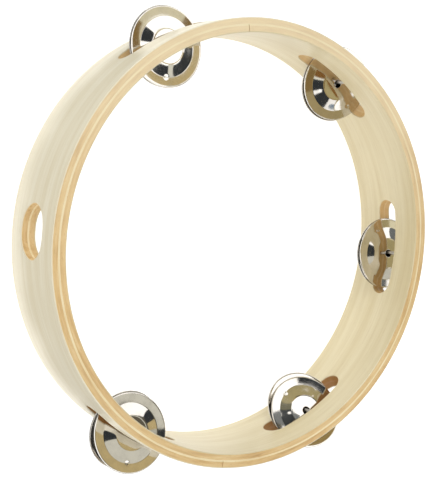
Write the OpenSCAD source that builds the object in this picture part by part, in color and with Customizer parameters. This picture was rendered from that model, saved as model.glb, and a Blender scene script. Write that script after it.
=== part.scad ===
// Open tambourine: a wide wooden hoop with five pairs of metal jingles and a finger hole.
// The hoop is wound from two turns of thin plywood, glued face to face. Each turn is a core
// between two veneers, and its ends meet in a butt joint. Five steel pins run through the
// middle of the wall, parallel to the hoop's axis, and cross five slots. Two cupped discs
// hang loose on each pin with their hollow sides facing each other.
//
// Units are millimetres. +Z is the hoop's axis, and the hoop lies on its lower rim at Z = 0.

/* [Hoop] */
// Outside diameter of the hoop, a ten inch size
hoop_d = 254; // [230:1:280]
// Depth of the hoop from rim to rim
hoop_depth = 52; // [46:1:64]
// Thickness of one plywood core
core_t = 3.0; // [2.4:0.1:3.6]
// Thickness of one face veneer
veneer_t = 0.55; // [0.4:0.05:0.8]
// Chamfer that eases the two exposed edges of each rim
edge_ease = 0.35; // [0.1:0.05:0.35]
// Gap left where the two ends of a turn meet
butt_gap = 0.4; // [0.2:0.1:1]

/* [Slots] */
// Length of a jingle slot, measured along the wall
slot_l = 60; // [54:1:66]
// Width of a jingle slot, which is also the diameter of its round ends
slot_w = 15; // [14:0.5:18]

/* [Finger hole] */
// Size of the finger hole along the wall
finger_l = 30; // [24:1:36]
// Size of the finger hole across the wall
finger_w = 26.8; // [20:0.2:30]

/* [Pins] */
// Diameter of a jingle pin
pin_d = 2.2; // [1.8:0.1:2.4]
// Length of pin that is buried in the wood above its slot
pin_grip = 8.5; // [5:0.5:11]
// How far a pin's lower end is punched below the lower rim
pin_set = 0.4; // [0.2:0.1:2]

/* [Jingles] */
// Diameter of a jingle disc
disc_d = 45; // [40:0.5:45]
// Diameter where the flat flange turns up into the cup
step_d = 33.8; // [30:0.2:36]
// Diameter of the flat top of the cup
crown_d = 19.2; // [14:0.2:24]
// Height of the cup above the flange
cup_h = 1.8; // [1.2:0.1:1.8]
// Thickness of the sheet metal
sheet_t = 0.6; // [0.4:0.1:0.7]
// Depth of the turned rim, with the sheet counted in
lip_h = 1.2; // [1:0.1:1.2]
// Diameter of the hole for the pin
disc_hole_d = 4.8; // [4.6:0.1:5.6]

/* [Hidden] */
$fn = 96;
eps = 1;
hoop_r = hoop_d / 2;
mid_z = hoop_depth / 2;

// Radii between the six layers, from the outside in
core_1_r = hoop_r - veneer_t;
back_1_r = core_1_r - core_t;
glue_r = back_1_r - veneer_t;
core_2_r = glue_r - veneer_t;
face_2_r = core_2_r - core_t;
bore_r = face_2_r - veneer_t;

turn_t = core_t + 2 * veneer_t;
pin_top = mid_z + slot_w / 2 + pin_grip;

// Directions around the hoop, in degrees from +X
slot_angle = [117, 57, 0, -58.7, -119.7];
pin_angle = [117.1, 55.8, -1.7, -58.5, -119.9];
finger_angle = 179.1;
outer_butt_angle = 264;
inner_butt_angle = 98.8;

// The pins are drilled by hand. This is how far each stands inside the glue line, as a share
// of one turn's thickness.
pin_share = [0.54, 0.52, 0.45, 0.5, -0.05];

// How each disc hangs. A rise is the height of its hole's middle above the middle of the
// slot, as a share of half the slot's width. A hang is how far the hole drops in -Y, as a
// share of its slack on the pin. A lean lifts the edge that is outside the hoop, and a roll
// lifts the edge that is further round the hoop.
slack = (disc_hole_d - pin_d) / 2;
hole_mid = cup_h - sheet_t / 2;
upper_rise = [0.371, -0.116, -0.039, 0.221, 0.707];
lower_rise = [-0.551, -0.892, -0.84, -0.621, -0.816];
upper_hang = [0.92, 0.84, 0.49, 0.22, 0.82];
lower_hang = [0.83, 0.67, 0.73, 0.32, 0.92];
upper_lean = [-4.1, 10.8, -0.4, 30.5, 9.1];
upper_roll = [3, -0.2, -4.4, -3.5, 6.8];
lower_lean = [-0.5, 10.1, 0.7, 30.5, -1.2];
lower_roll = [3.2, -0.2, -3.6, -3.5, -4.5];
mark_angle = [-90, -50, 120, 135, -100];

// Shallow punch mark on the edge of each cup
mark_r = 2.4;
mark_depth = 0.3;

// A round-ended slot that points along +X, centred on the X axis
module radial_slot(length, width) {
    reach = 3 * core_t + 6 * veneer_t + 8;
    half = (length - width) / 2;
    for (side = [-1, 1])
        translate([bore_r - reach / 2, side * half, 0])
            rotate([0, 90, 0])
                cylinder(h = 2 * reach, d = width);
    translate([bore_r - reach / 2, -half, -width / 2])
        cube([2 * reach, 2 * half, width]);
}

// Distance of a pin from the hoop's axis
function pin_r(i) = glue_r - pin_share[i] * turn_t;

// Everything that is cut through the whole wall
module wall_cuts() {
    for (a = slot_angle)
        rotate([0, 0, a])
            translate([0, 0, mid_z])
                radial_slot(slot_l, slot_w);
    rotate([0, 0, finger_angle])
        translate([0, 0, mid_z])
            radial_slot(finger_l, finger_w);
}

// Blind holes for the pins, open at the lower rim
module pin_bores() {
    for (i = [0:4])
        rotate([0, 0, pin_angle[i]])
            translate([pin_r(i), 0, -eps])
                cylinder(h = pin_top + eps, d = pin_d + 0.06, $fn = 32);
}

// Saw cut between the two ends of a turn
module butt_cut(angle) {
    rotate([0, 0, angle])
        translate([bore_r - eps, -butt_gap / 2, -eps])
            cube([hoop_r - bore_r + 2 * eps, butt_gap, hoop_depth + 2 * eps]);
}

// One layer of the hoop. Its outer or inner edges can be eased.
module layer(r_out, r_in, butt_angle, ease_out = 0, ease_in = 0) {
    difference() {
        rotate_extrude($fn = 180)
            polygon([
                [r_in + ease_in, 0], [r_out - ease_out, 0],
                [r_out, ease_out], [r_out, hoop_depth - ease_out],
                [r_out - ease_out, hoop_depth], [r_in + ease_in, hoop_depth],
                [r_in, hoop_depth - ease_in], [r_in, ease_in]
            ]);
        wall_cuts();
        pin_bores();
        butt_cut(butt_angle);
    }
}

module outer_face_veneer() {
    color("#eadfc4")
        layer(hoop_r, core_1_r, outer_butt_angle, ease_out = edge_ease);
}

module outer_core() {
    color("#d6b67d")
        layer(core_1_r, back_1_r, outer_butt_angle);
}

module outer_back_veneer() {
    color("#eedaaa")
        layer(back_1_r, glue_r, outer_butt_angle);
}

module inner_back_veneer() {
    color("#eedaaa")
        layer(glue_r, core_2_r, inner_butt_angle);
}

module inner_core() {
    color("#d6b67d")
        layer(core_2_r, face_2_r, inner_butt_angle);
}

module inner_face_veneer() {
    color("#dccda6")
        layer(face_2_r, bore_r, inner_butt_angle, ease_in = edge_ease);
}

// One pin, driven in from the lower rim
module pin(i) {
    color("#b9bcc0")
        rotate([0, 0, pin_angle[i]])
            translate([pin_r(i), 0, pin_set])
                cylinder(h = pin_top - pin_set, d = pin_d, $fn = 32);
}

// A cupped disc with its flange on Z = 0 and its cup rising along +Z
module disc(mark) {
    hole_r = disc_hole_d / 2;
    crown_r = crown_d / 2;
    step_r = step_d / 2;
    rim_r = disc_d / 2;
    difference() {
        rotate_extrude()
            polygon([
                [hole_r, cup_h], [crown_r, cup_h],
                [step_r, 0], [rim_r, 0],
                [rim_r, -lip_h], [rim_r - sheet_t, -lip_h],
                [rim_r - sheet_t, -sheet_t], [step_r, -sheet_t],
                [crown_r, cup_h - sheet_t], [hole_r, cup_h - sheet_t]
            ]);
        rotate([0, 0, mark])
            translate([step_r, 0, mark_r - mark_depth])
                sphere(r = mark_r, $fn = 32);
    }
}

// A disc placed by the middle of its hole, which hangs below its pin in Y
module hung_disc(i, rise, hang, lean, roll, face) {
    a = pin_angle[i];
    x = pin_r(i) * cos(a);
    y = pin_r(i) * sin(a) - hang * slack;
    color("#c9ccd0")
        translate([x, y, mid_z + rise * slot_w / 2])
            rotate([0, 0, a])
                rotate([roll, -lean, 0])
                    mirror([0, 0, face == "lower" ? 1 : 0])
                        translate([0, 0, -hole_mid])
                            rotate([0, 0, -a])
                                disc(mark_angle[i]);
}

module upper_jingle(i) {
    hung_disc(i, upper_rise[i], upper_hang[i], upper_lean[i], upper_roll[i], "upper");
}

module lower_jingle(i) {
    hung_disc(i, lower_rise[i], lower_hang[i], lower_lean[i], lower_roll[i], "lower");
}

outer_face_veneer();
outer_core();
outer_back_veneer();
inner_back_veneer();
inner_core();
inner_face_veneer();
pin(0);  // pin_1
pin(1);  // pin_2
pin(2);  // pin_3
pin(3);  // pin_4
pin(4);  // pin_5
upper_jingle(0);  // jingle_1_upper
lower_jingle(0);  // jingle_1_lower
upper_jingle(1);  // jingle_2_upper
lower_jingle(1);  // jingle_2_lower
upper_jingle(2);  // jingle_3_upper
lower_jingle(2);  // jingle_3_lower
upper_jingle(3);  // jingle_4_upper
lower_jingle(3);  // jingle_4_lower
upper_jingle(4);  // jingle_5_upper
lower_jingle(4);  // jingle_5_lower
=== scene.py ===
"""Looks for the open tambourine: wooden hoop, five pairs of nickel-plated jingles, steel pins."""

import itertools
import math

import bmesh
import bpy
from mathutils import Matrix, Vector


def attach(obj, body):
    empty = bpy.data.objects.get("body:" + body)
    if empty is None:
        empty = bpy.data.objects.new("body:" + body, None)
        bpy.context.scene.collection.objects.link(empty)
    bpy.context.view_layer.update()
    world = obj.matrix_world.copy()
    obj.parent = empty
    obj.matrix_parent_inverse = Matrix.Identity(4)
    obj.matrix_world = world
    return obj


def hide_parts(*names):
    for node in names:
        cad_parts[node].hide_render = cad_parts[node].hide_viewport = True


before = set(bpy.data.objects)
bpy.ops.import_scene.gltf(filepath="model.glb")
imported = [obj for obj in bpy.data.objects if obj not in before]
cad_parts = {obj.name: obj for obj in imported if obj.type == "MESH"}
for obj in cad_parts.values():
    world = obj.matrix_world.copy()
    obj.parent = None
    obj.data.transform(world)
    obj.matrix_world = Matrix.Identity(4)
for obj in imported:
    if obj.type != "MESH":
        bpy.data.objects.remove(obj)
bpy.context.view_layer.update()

# The part's own numbers, in millimetres and degrees
MM = 0.001
PIN_ANGLES = (117.1, 55.8, -1.7, -58.5, -119.9)
PIN_SHARE = (0.54, 0.52, 0.45, 0.5, -0.05)
MARK_ANGLES = (-90, -50, 120, 135, -100)
OUTER_BUTT, INNER_BUTT = 264, 98.8
GLUE_R, TURN_T, SLACK = 122.9, 4.1, 1.3
MID_Z, SLOT_W, HOLE_MID = 26, 15, 1.5
# Middle of the wall, where distances along it are measured
WALL_R = 123


# ---------------------------------------------------------------- shader helpers

class Shader:
    """Builds one node material, so that each material reads as a short list of steps."""

    def __init__(self, name):
        self.material = bpy.data.materials.new(name)
        self.material.use_nodes = True
        self.tree = self.material.node_tree
        self.nodes, self.links = self.tree.nodes, self.tree.links
        self.bsdf = self.nodes["Principled BSDF"]

    def add(self, kind, inputs=None, **settings):
        node = self.nodes.new(kind)
        for key, value in settings.items():
            setattr(node, key, value)
        for key, value in (inputs or {}).items():
            self.put(node.inputs[key], value)
        return node

    def put(self, socket, value):
        if isinstance(value, bpy.types.NodeSocket):
            self.links.new(value, socket)
        else:
            socket.default_value = value

    def math(self, operation, a, b=0.0):
        return self.add("ShaderNodeMath", {0: a, 1: b}, operation=operation).outputs[0]

    def noise(self, vector, scale, detail, roughness):
        node = self.add(
            "ShaderNodeTexNoise",
            {"Vector": vector, "Scale": scale, "Detail": detail, "Roughness": roughness},
        )
        return node.outputs["Fac"]

    def ramp(self, factor, *stops):
        node = self.add("ShaderNodeValToRGB", {"Fac": factor})
        elements = node.color_ramp.elements
        elements[0].position, elements[0].color = stops[0][0], (*stops[0][1], 1)
        elements[1].position, elements[1].color = stops[-1][0], (*stops[-1][1], 1)
        for position, colour in stops[1:-1]:
            elements.new(position).color = (*colour, 1)
        return node.outputs["Color"]

    def remap(self, value, low, high, out_low=0.0, out_high=1.0):
        node = self.add(
            "ShaderNodeMapRange",
            {"Value": value, "From Min": low, "From Max": high,
             "To Min": out_low, "To Max": out_high},
            interpolation_type="SMOOTHSTEP",
        )
        return node.outputs["Result"]

    def mix(self, factor, a, b):
        node = self.add("ShaderNodeMix", data_type="RGBA")
        self.put(node.inputs["Factor"], factor)
        self.put(node.inputs["A"], a if not isinstance(a, tuple) else (*a, 1))
        self.put(node.inputs["B"], b if not isinstance(b, tuple) else (*b, 1))
        return node.outputs["Result"]

    def bump(self, height, strength, distance, normal=None):
        inputs = {"Height": height, "Strength": strength, "Distance": distance}
        if normal is not None:
            inputs["Normal"] = normal
        return self.add("ShaderNodeBump", inputs).outputs["Normal"]

    def surface(self, **inputs):
        for key, value in inputs.items():
            if isinstance(value, tuple):
                value = (*value, 1)
            self.put(self.bsdf.inputs[key.replace("_", " ").title()], value)

    def glow(self, colour, strength):
        self.bsdf.inputs["Emission Color"].default_value = (*colour, 1)
        self.bsdf.inputs["Emission Strength"].default_value = strength


def hoop_coordinates(shader, seam_angle):
    """(along the wall, across the wall, radius) in metres, with the seam at a butt joint."""
    place = shader.add("ShaderNodeTexCoord").outputs["Object"]
    turn = shader.add(
        "ShaderNodeVectorRotate",
        {"Vector": place, "Angle": math.radians(180 - seam_angle)},
        rotation_type="Z_AXIS",
    )
    x, y, z = shader.add("ShaderNodeSeparateXYZ", {0: turn.outputs[0]}).outputs
    along = shader.math("MULTIPLY", shader.math("ARCTAN2", y, x), WALL_R * MM)
    squares = shader.math("MULTIPLY", x, x), shader.math("MULTIPLY", y, y)
    return along, z, shader.math("SQRT", shader.math("ADD", *squares))


def stretched(shader, along, across, radius, squeeze):
    """A vector that draws noise out into streaks along the wall."""
    short = shader.math("MULTIPLY", along, squeeze)
    return shader.add("ShaderNodeCombineXYZ", {"X": short, "Y": across, "Z": radius}).outputs[0]


# ---------------------------------------------------------------- materials

def veneer_material(name, seam, pale, deep, streak):
    """Pale face veneer: fine streaks along the wall, soft clouds, short flecks, clear lacquer."""
    s = Shader(name)
    place = hoop_coordinates(s, seam)
    grain = s.noise(stretched(s, *place, 0.035), 900, 4, 0.6)
    bands = s.noise(stretched(s, *place, 0.05), 150, 3, 0.5)
    cloud = s.noise(stretched(s, *place, 0.35), 38, 2, 0.5)
    fleck = s.noise(stretched(s, *place, 0.16), 1500, 2, 0.5)
    base = s.mix(s.remap(bands, 0.3, 0.72), pale, deep)
    base = s.mix(s.math("MULTIPLY", s.remap(grain, 0.45, 0.75), 0.28), base, streak)
    base = s.mix(s.math("MULTIPLY", s.remap(fleck, 0.62, 0.74), 0.25), base, streak)
    base = s.mix(s.math("MULTIPLY", s.remap(cloud, 0.35, 0.7), 0.22), base, deep)
    normal = s.bump(grain, 0.25, 0.00012)
    normal = s.bump(fleck, 0.2, 0.00006, normal)
    s.surface(base_color=base, roughness=s.remap(grain, 0.3, 0.7, 0.36, 0.48), normal=normal)
    s.bsdf.inputs["Coat Weight"].default_value = 0.45
    s.bsdf.inputs["Coat Roughness"].default_value = 0.3
    return s.material


def core_material(name, seam, light, mid, dark):
    """Ply core: brown end grain on the rims, short pores, a painted highlight towards +Y, and
    painted shade on the slot walls.
    """
    s = Shader(name)
    place = hoop_coordinates(s, seam)
    fibre = s.noise(stretched(s, *place, 0.1), 480, 4, 0.6)
    pore = s.noise(stretched(s, *place, 0.3), 1800, 2, 0.5)
    patch = s.noise(stretched(s, *place, 0.2), 55, 2, 0.5)
    x, y, z = s.add("ShaderNodeSeparateXYZ",
                    {0: s.add("ShaderNodeTexCoord").outputs["Object"]}).outputs
    base = s.ramp(fibre, (0.3, light), (0.5, mid), (0.72, dark))
    base = s.mix(s.math("MULTIPLY", s.remap(patch, 0.35, 0.68), 0.45), base, light)
    base = s.mix(s.math("MULTIPLY", s.remap(pore, 0.6, 0.72), 0.35), base, dark)
    # Painted highlight: the wood is painted paler towards +Y, where glare lies along the
    # rim. The wood is bleached towards +Y, where the photo's rim is palest
    painted_glare = s.math("MULTIPLY", s.remap(y, -0.02, 0.12), 0.55)
    base = s.mix(painted_glare, base, linear(240, 226, 192))
    # Painted shade: slot walls, but not the rims or the finger hole, are painted browner as shade
    # in the slots, and darkest towards -Y
    from_middle = s.math("ABSOLUTE", s.math("SUBTRACT", z, MID_Z * MM))
    slot_shade_mask = s.math("MULTIPLY", s.remap(from_middle, 0.0145, 0.0165, 1.0, 0.0),
                    s.remap(x, -0.11, -0.09))
    base = s.mix(s.math("MULTIPLY", slot_shade_mask, 0.5), base, linear(220, 176, 104))
    # Painted shade on the slot walls, deepening towards -Y
    low = s.math("MULTIPLY", slot_shade_mask, s.remap(y, -0.09, 0.0, 0.82, 0.0))
    base = s.mix(low, base, linear(150, 98, 38))
    normal = s.bump(fibre, 0.3, 0.00015)
    s.surface(base_color=base, roughness=s.remap(pore, 0.4, 0.7, 0.5, 0.62), normal=normal)
    return s.material


def metal_material(name, tint, rough):
    """Bare or plated metal with a light handling haze and a very fine unevenness."""
    s = Shader(name)
    place = s.add("ShaderNodeTexCoord").outputs["Object"]
    haze = s.noise(place, 160, 3, 0.55)
    fine = s.noise(place, 2600, 2, 0.5)
    deep = tuple(0.9 * channel for channel in tint)
    base = s.mix(s.remap(haze, 0.35, 0.75), tint, deep)
    s.surface(base_color=base, metallic=1.0,
              roughness=s.remap(haze, 0.3, 0.8, rough, rough + 0.05),
              normal=s.bump(fine, 0.04, 0.00003))
    return s.material


def linear(red, green, blue):
    """Scene-linear colour from 0-255 display values."""
    def channel(v):
        v /= 255
        return v / 12.92 if v <= 0.04045 else ((v + 0.055) / 1.055) ** 2.4
    return channel(red), channel(green), channel(blue)


OUTER_VENEER = veneer_material("outer_face_veneer_wood", OUTER_BUTT,
                               linear(235, 227, 203), linear(225, 214, 184), linear(204, 187, 148))
INNER_VENEER = veneer_material("inner_face_veneer_wood", INNER_BUTT,
                               linear(225, 213, 178), linear(214, 199, 158), linear(192, 170, 124))
CORE_TONES = linear(232, 204, 150), linear(220, 184, 124), linear(190, 148, 90)
OUTER_CORE = core_material("outer_core_wood", OUTER_BUTT, *CORE_TONES)
INNER_CORE = core_material("inner_core_wood", INNER_BUTT, *CORE_TONES)
BACK_VENEER = core_material("back_veneer_wood", INNER_BUTT,
                            linear(246, 230, 190), linear(240, 220, 172), linear(222, 192, 138))
NICKEL = metal_material("nickel_plate", (0.61, 0.58, 0.53), 0.05)
PIN_STEEL = metal_material("pin_steel", (0.56, 0.55, 0.53), 0.28)

for node, material in (
    ("outer_core", OUTER_CORE), ("inner_core", INNER_CORE),
    ("outer_back_veneer", BACK_VENEER), ("inner_back_veneer", BACK_VENEER),
    ("outer_face_veneer", OUTER_VENEER), ("inner_face_veneer", INNER_VENEER),
    *((f"pin_{i}", PIN_STEEL) for i in range(1, 6)),
):
    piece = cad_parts[node]
    piece.data.materials.clear()
    piece.data.materials.append(material)


# ---------------------------------------------------------------- jingles

# For each side and pair: (rise, hang, lean, roll), with the same meanings as in the part
HUNG = {
    "upper": ((0.371, 0.92, -4.1, 3), (-0.116, 0.84, 10.8, -0.2), (-0.039, 0.49, -0.4, -4.4),
              (0.221, 0.22, 30.5, -3.5), (0.707, 0.82, 9.1, 6.8)),
    "lower": ((-0.551, 0.83, -0.5, 3.2), (-0.892, 0.67, 10.1, -0.2), (-0.84, 0.73, 0.7, -3.6),
              (-0.621, 0.32, 30.5, -3.5), (-0.816, 0.92, -1.2, -4.5)),
}


def arc(centre, radius, start, end, steps):
    """Points on a flat arc, with its angles in degrees."""
    return [(centre[0] + radius * math.cos(math.radians(start + (end - start) * i / steps)),
             centre[1] + radius * math.sin(math.radians(start + (end - start) * i / steps)))
            for i in range(steps + 1)]


def smooth(t):
    """Eased step from 0 to 1."""
    return t * t * (3 - 2 * t)


def disc_profile():
    """Closed outline of the stamped sheet, from the hole's edge out over the top and back."""
    hole, crown, step, rim, sheet = 2.4, 9.6, 16.9, 22.48, 0.55
    peak, dome, fold, ease = 1.74, 0.26, 0.65, 0.3

    def top(r):
        """Height of the upper face: a domed crown, a sloping cup and an almost flat flange."""
        if r <= crown:
            return peak - dome * (r / crown) ** 2
        if r <= step:
            t = (r - crown) / (step - crown)
            return 1.48 * (1 - (0.85 * t + 0.15 * smooth(t)))
        return -0.035 * (r - step)

    radii = [hole + ease + (crown - hole - ease) * i / 10 for i in range(11)]
    radii += [crown + (step - crown) * i / 16 for i in range(1, 17)]
    radii += [step + 0.25, step + 0.6]
    radii += [step + (rim - fold - step) * i / 8 for i in range(2, 9)]
    over = [(r, top(r)) for r in sorted(set(radii))]
    edge_r, edge_z = over[-1]
    bend = arc((edge_r, edge_z - fold), fold, 90, 0, 8)[1:]
    lip = [(rim, -1.05), (rim - 0.08, -1.17), (rim - 0.25, -1.19), (rim - 0.45, -1.1)]
    under = [(rim - 0.55, -0.9), (rim - 0.75, edge_z - sheet)]
    under += [(r, top(r) - sheet)
              for r in (20, 18, step, 15, 13, 11, crown, 8, 6, 4, hole + 0.2)]
    inner = [(hole, peak - sheet + 0.15), (hole, 1.6), (hole + 0.08, 1.69)]
    return over + bend + lip + under + inner


def disc_mesh(name, mark):
    """The profile turned about Z, with a soft punch mark on the cup's edge."""
    profile, turns = disc_profile(), 160
    mark_r, mark_depth, mark_width = 16.6, 0.38, 0.8
    mark_x = mark_r * math.cos(math.radians(mark))
    mark_y = mark_r * math.sin(math.radians(mark))
    build = bmesh.new()
    rings = []
    for step in range(turns):
        angle = 2 * math.pi * step / turns
        ring = []
        for r, z in profile:
            x, y = r * math.cos(angle), r * math.sin(angle)
            away = math.hypot(x - mark_x, y - mark_y)
            z -= mark_depth * math.exp(-((away / mark_width) ** 2))
            ring.append(build.verts.new((x * MM, y * MM, z * MM)))
        rings.append(ring)
    for step in range(turns):
        here, there = rings[step], rings[(step + 1) % turns]
        for i in range(len(profile)):
            j = (i + 1) % len(profile)
            build.faces.new((here[i], there[i], there[j], here[j])).smooth = True
    bmesh.ops.recalc_face_normals(build, faces=build.faces)
    mesh = bpy.data.meshes.new(name)
    build.to_mesh(mesh)
    build.free()
    mesh.materials.append(NICKEL)
    return mesh


def turn_about(axis, degrees):
    """A rotation about one of the main axes."""
    return Matrix.Rotation(math.radians(degrees), 4, axis)


def hang_disc(index, side):
    """One disc on its pin, at the CAD's place: it hangs by the middle of its hole."""
    rise, hang, lean, roll = HUNG[side][index]
    angle = PIN_ANGLES[index]
    radius = GLUE_R - PIN_SHARE[index] * TURN_T
    place = Vector((radius * math.cos(math.radians(angle)),
                    radius * math.sin(math.radians(angle)) - hang * SLACK,
                    MID_Z + rise * SLOT_W / 2)) * MM
    flip = Matrix.Diagonal((1, 1, -1 if side == "lower" else 1, 1))
    pose = (Matrix.Translation(place) @ turn_about("Z", angle) @ turn_about("Y", -lean)
            @ turn_about("X", roll) @ flip @ Matrix.Translation((0, 0, -HOLE_MID * MM))
            @ turn_about("Z", -angle))
    name = f"nickel_disc_{index + 1}_{side}"
    mesh = disc_mesh(name, MARK_ANGLES[index])
    mesh.transform(pose)
    if side == "lower":
        mesh.flip_normals()
    disc = bpy.data.objects.new(name, mesh)
    bpy.context.collection.objects.link(disc)
    node = f"jingle_{index + 1}_{side}"
    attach(disc, node)
    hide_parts(node)


for index in range(5):
    for side in ("upper", "lower"):
        hang_disc(index, side)


# ---------------------------------------------------------------- floor, cards, light, camera

WHITE, CHARCOAL, STEEL = (1.0, 1.0, 1.0), linear(44, 48, 52), linear(124, 128, 130)
TAN, BEIGE, PALE = linear(188, 170, 124), linear(220, 213, 184), linear(234, 233, 222)
BROWN, RUST, OLIVE = linear(128, 104, 62), linear(132, 92, 42), linear(172, 160, 116)
SHADE = linear(92, 88, 76)

# The cards stand for the photo's studio, and are tuned to its camera angle. Pairs 1 and 4 have
# lower cards, so that no pair mirrors another pair's cards.
CARD_HEIGHT, TL_HEIGHT, BR_HEIGHT, FLAG_HEIGHT = 110, 85, 80, 0.6
CARD_STEP = 0.02
# Makes up for the light that the nickel takes away
CARD_GAIN = 1.22
CARD_NUMBERS = itertools.count(1)


def stage_floor():
    """A plain pale floor just under the hoop, which shines a little so that it prints white."""
    mesh = bpy.data.meshes.new("floor")
    build = bmesh.new()
    bmesh.ops.create_grid(build, x_segments=1, y_segments=1, size=6)
    build.to_mesh(mesh)
    build.free()
    floor = bpy.data.objects.new("floor", mesh)
    floor.location.z = -0.0002
    bpy.context.collection.objects.link(floor)
    s = Shader("floor_paper")
    s.surface(base_color=(0.5, 0.5, 0.5), roughness=0.9)
    s.glow(WHITE, 0.8)
    mesh.materials.append(s.material)


def area_light(name, place, size, watts, colour=(1, 1, 1)):
    """A round soft light that points at the hoop's middle."""
    data = bpy.data.lights.new(name, "AREA")
    data.shape, data.size, data.energy, data.color = "DISK", size, watts, colour
    lamp = bpy.data.objects.new(name, data)
    lamp.location = place
    lamp.rotation_euler = (-Vector(place)).to_track_quat("-Z", "Y").to_euler()
    bpy.context.collection.objects.link(lamp)


def card(name, corners, colour, strength=1.2, height=CARD_HEIGHT):
    """A small flat card near the hoop, in millimetres, that only glossy reflections show.

    Each raised card lies a little lower than the one before it, so it covers that one.
    """
    number = next(CARD_NUMBERS)
    mesh = bpy.data.meshes.new(name)
    level = height if height == FLAG_HEIGHT else height - CARD_STEP * number
    mesh.from_pydata([(x * MM, y * MM, level * MM) for x, y in corners], [],
                     [tuple(range(len(corners)))])
    board = bpy.data.objects.new(name, mesh)
    bpy.context.collection.objects.link(board)
    board.visible_camera = board.visible_diffuse = board.visible_shadow = False
    board.visible_transmission = board.visible_volume_scatter = False
    s = Shader(name)
    s.surface(base_color=(0, 0, 0), roughness=1.0)
    s.glow(colour, strength * CARD_GAIN)
    mesh.materials.append(s.material)


def arc_band(x, y, inner, outer, start, end):
    """Corners of a curved card: an arc about (x, y) between two radii."""
    outside = arc((x, y), outer, start, end, 16)
    inside = arc((x, y), inner, end, start, 16)
    return outside + inside


stage_floor()
card("card_over_all", ((-260, -260), (330, -260), (330, 260), (-260, 260)), WHITE, 1.7)

# Pair 1, top left
card("tl_rim_top", arc_band(-17.5, 125, 23, 34, 8, 192), BEIGE, 1.1, TL_HEIGHT)
card("tl_rim_low", arc_band(-17.5, 125, 23, 31, -155, 8), TAN, height=TL_HEIGHT)
card("tl_rim_left", arc_band(-17.5, 125, 25.8, 34, 149, 197), BROWN, height=TL_HEIGHT)
card("tl_rim_right", arc_band(-17.5, 125, 23, 34, 39, 54), BROWN, height=TL_HEIGHT)
card("tl_cup_left", ((-68, 124), (-56, 125), (-52, 135), (-50, 143), (-55, 148), (-62, 142),
                     (-68, 134)), CHARCOAL, height=TL_HEIGHT)
card("tl_cup_low", ((-48, 90), (-34, 80), (-20, 77), (-4, 79), (12, 85), (29, 95), (43, 109),
                    (53, 123), (58, 140), (43, 138), (34, 123), (24, 110), (12, 99.5),
                    (0, 93.5), (-10, 90.5), (-25, 89.5), (-36, 91.5)),
     CHARCOAL, height=TL_HEIGHT)
card("tl_cup_wedge", ((-17, 77), (-8, 77), (-5, 96), (-20, 95)), PALE, 1.0, TL_HEIGHT)

# Pair 5, bottom left
card("bl_under", ((-84, -158), (62, -158), (62, -38), (-84, -38)), SHADE)
card("bl_cup_top", ((-44, -52), (-32, -39), (-10, -36), (12, -38), (33, -52), (25, -62),
                    (10, -58), (-10, -59), (-30, -58)), WHITE, 1.5)
card("bl_cup_right", ((25, -62), (33, -52), (46, -63), (54, -76), (36, -80), (28, -70)),
     CHARCOAL)
card("bl_cup_tan", ((36, -80), (54, -76), (60, -90), (60, -98), (40, -98)), TAN)
card("bl_cup_end", ((40, -98), (60, -98), (60, -112), (40, -112)), PALE, 0.7)
card("bl_cup_left", ((-82, -92), (-61, -92), (-62, -108), (-82, -110)), CHARCOAL)
card("bl_cup_low", ((-82, -110), (-62, -108), (-57, -118), (-47, -128), (-30, -134), (-10, -136),
                    (8, -133), (20, -127), (36, -129), (32, -143), (10, -154), (-20, -157),
                    (-52, -149), (-72, -131)), PALE, 0.9)
card("bl_rim_top", arc_band(-22, -98.5, 25, 36, 1, 126), PALE, 0.9)
card("bl_rim_right", arc_band(-22, -98.5, 25, 36, -22, 1), CHARCOAL)
card("bl_rim_low", arc_band(-22, -98.5, 25, 36, 150, 324), TAN)
card("bl_crown_low", ((-46, -98), (-30, -105), (-8, -114), (-8, -122), (-30, -122), (-46, -114)),
     TAN)

# Pair 2, top right
card("tr_under", ((44, 12), (205, 12), (205, 75), (150, 75), (114, 98), (98, 108), (98, 128),
                  (44, 128)), linear(166, 150, 104))
card("tr_cup_top", ((48, 110), (68, 110), (68, 90), (52, 90)), RUST, 1.1)
card("tr_cup_glint", ((48, 90), (66, 90), (66, 85.5), (48, 85)), PALE)
card("tr_cup_left", ((48, 85), (66, 85.5), (70, 71), (80, 56), (93, 45), (106, 38), (99, 20),
                     (82, 26), (66, 38), (54, 54), (47, 70)), CHARCOAL)
card("tr_cup_spot", ((60.5, 63), (66, 62.5), (68.5, 56), (64, 53.5), (60.5, 57)), WHITE, 1.5)
card("tr_cup_low", ((98, 41), (112, 38), (140, 36), (142, 18), (120, 17), (98, 20)), WHITE)
card("tr_cup_blue", ((108, 25.2), (134, 24), (134, 16), (108, 16)), linear(120, 138, 156))
card("tr_rim_left", arc_band(113, 81.5, 25.5, 36, 140, 200), BROWN)
card("tr_rim_low", arc_band(113, 81.5, 25.5, 36, 200, 310), TAN, 0.85)
card("tr_crown_low", ((88, 87), (95, 80), (103, 73), (113, 65.5), (121, 64), (118, 59),
                      (100, 60), (89, 72)), OLIVE)
card("tr_crown_top", ((89, 90), (101, 88), (124, 68), (121, 63), (113, 65.5), (103, 73),
                      (95, 80)), RUST, 1.1)

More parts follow.
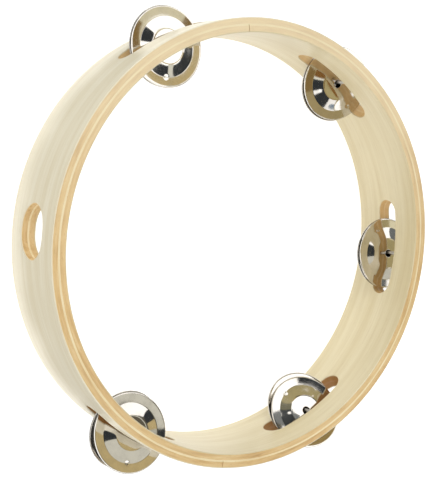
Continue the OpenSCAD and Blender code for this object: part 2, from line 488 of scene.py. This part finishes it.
# Pair 3, right
card("r_under", ((128, -70), (275, -70), (275, 70), (128, 70)), linear(164, 152, 110))
card("r_rim_top", ((206, 23), (224, 23), (224, 35), (206, 35)), BEIGE)
card("r_rim_low", ((186, -24), (201, -24), (201, -32), (186, -32)), STEEL, 0.8)
card("r_rim_glint", ((201, -24), (212, -24), (212, -32), (201, -32)), WHITE, 1.5)
card("r_cup_left", ((128, 18), (143, 18), (146, -6), (128, -6)), CHARCOAL)
card("r_cup_white", ((128, 18), (147, 18), (160, 40), (138, 40)), WHITE, 1.5)
card("r_cup_pale", ((128, -6), (146, -6), (150, -23), (132, -23)), PALE, 0.85)
card("r_cup_top", ((188, 42), (220, 42), (220, 66), (186, 66)), WHITE, 1.5)
card("r_cup_right", ((220, 38), (266, 38), (266, 66), (220, 66)), STEEL, 0.9)
card("r_cup_low", ((184, -41), (242, -41), (242, -62), (180, -62)), PALE, 0.85)

# Pair 4, bottom right
card("br_cup_top", ((31, -33), (50, -33), (56, -20), (64, -10), (78, -3), (95, 0), (108, -3),
                    (116, -14), (119, -40), (123.5, -40), (123.5, 8), (112, 26), (98, 28),
                    (78, 23), (57, 13), (44, 0), (35, -18)), OLIVE, 1.1, BR_HEIGHT)
card("br_cup_dark", ((29, -52), (48, -52), (51, -32), (30, -32)), linear(104, 100, 76),
     height=BR_HEIGHT)
card("br_cup_left", ((29, -52), (48, -52), (51, -64), (54, -80), (42, -91), (29, -76)),
     CHARCOAL, height=BR_HEIGHT)
card("br_cup_glint", ((37, -59), (42, -59), (43.5, -65), (38, -65)), WHITE, 1.5, BR_HEIGHT)
card("br_rim_right", arc_band(80, -50, 20.5, 33, 4, 81), CHARCOAL, height=BR_HEIGHT)
card("br_rim_left", arc_band(80, -50, 20.5, 33, 197, 240), STEEL, height=BR_HEIGHT)
card("br_low_disc", ((66, -98), (82, -98), (105, -88), (101, -77), (84, -85), (70, -90)),
     linear(150, 128, 80), height=BR_HEIGHT)

# Dark cards on the floor, which draw the thin dark lines along the discs' turned rims
card("floor_flag_outside", arc_band(0, 0, 133, 700, 114, 420), CHARCOAL, 1.0, FLAG_HEIGHT)
card("floor_flag_2", arc_band(68, 99, 24, 80, 185, 245), CHARCOAL, 1.0, FLAG_HEIGHT)
card("floor_flag_3", arc_band(121, -4, 20, 90, 150, 210), CHARCOAL, 1.0, FLAG_HEIGHT)
card("floor_flag_4", arc_band(63, -103, 24, 85, 128, 172), CHARCOAL, 1.0, FLAG_HEIGHT)

area_light("key", (-0.4, 1.1, 1.1), size=1.0, watts=6, colour=(0.9, 0.96, 1))
area_light("fill", (-0.3, -1.2, 0.4), size=0.8, watts=2.2)

world = bpy.data.worlds.new("studio")
bpy.context.scene.world = world
world.use_nodes = True
world.node_tree.nodes["Background"].inputs["Color"].default_value = (1, 0.99, 0.96, 1)
world.node_tree.nodes["Background"].inputs["Strength"].default_value = 0.73

CAMERA_AT = Vector((-0.3552, 0.0438, 0.5488))
CAMERA_FORWARD = Vector((0.5479, -0.0718, -0.8334))
CAMERA_UP = Vector((-0.0260, 0.9944, -0.1028))
camera_data = bpy.data.cameras.new("camera")
camera_data.lens, camera_data.sensor_width = 80.32, 36
camera = bpy.data.objects.new("camera", camera_data)
right = CAMERA_FORWARD.cross(CAMERA_UP).normalized()
up = right.cross(CAMERA_FORWARD).normalized()
axes = Matrix((right, up, -CAMERA_FORWARD.normalized())).transposed()
camera.matrix_world = Matrix.Translation(CAMERA_AT) @ axes.to_4x4()
bpy.context.collection.objects.link(camera)
bpy.context.scene.camera = camera
bpy.context.scene.view_settings.view_transform = "Standard"
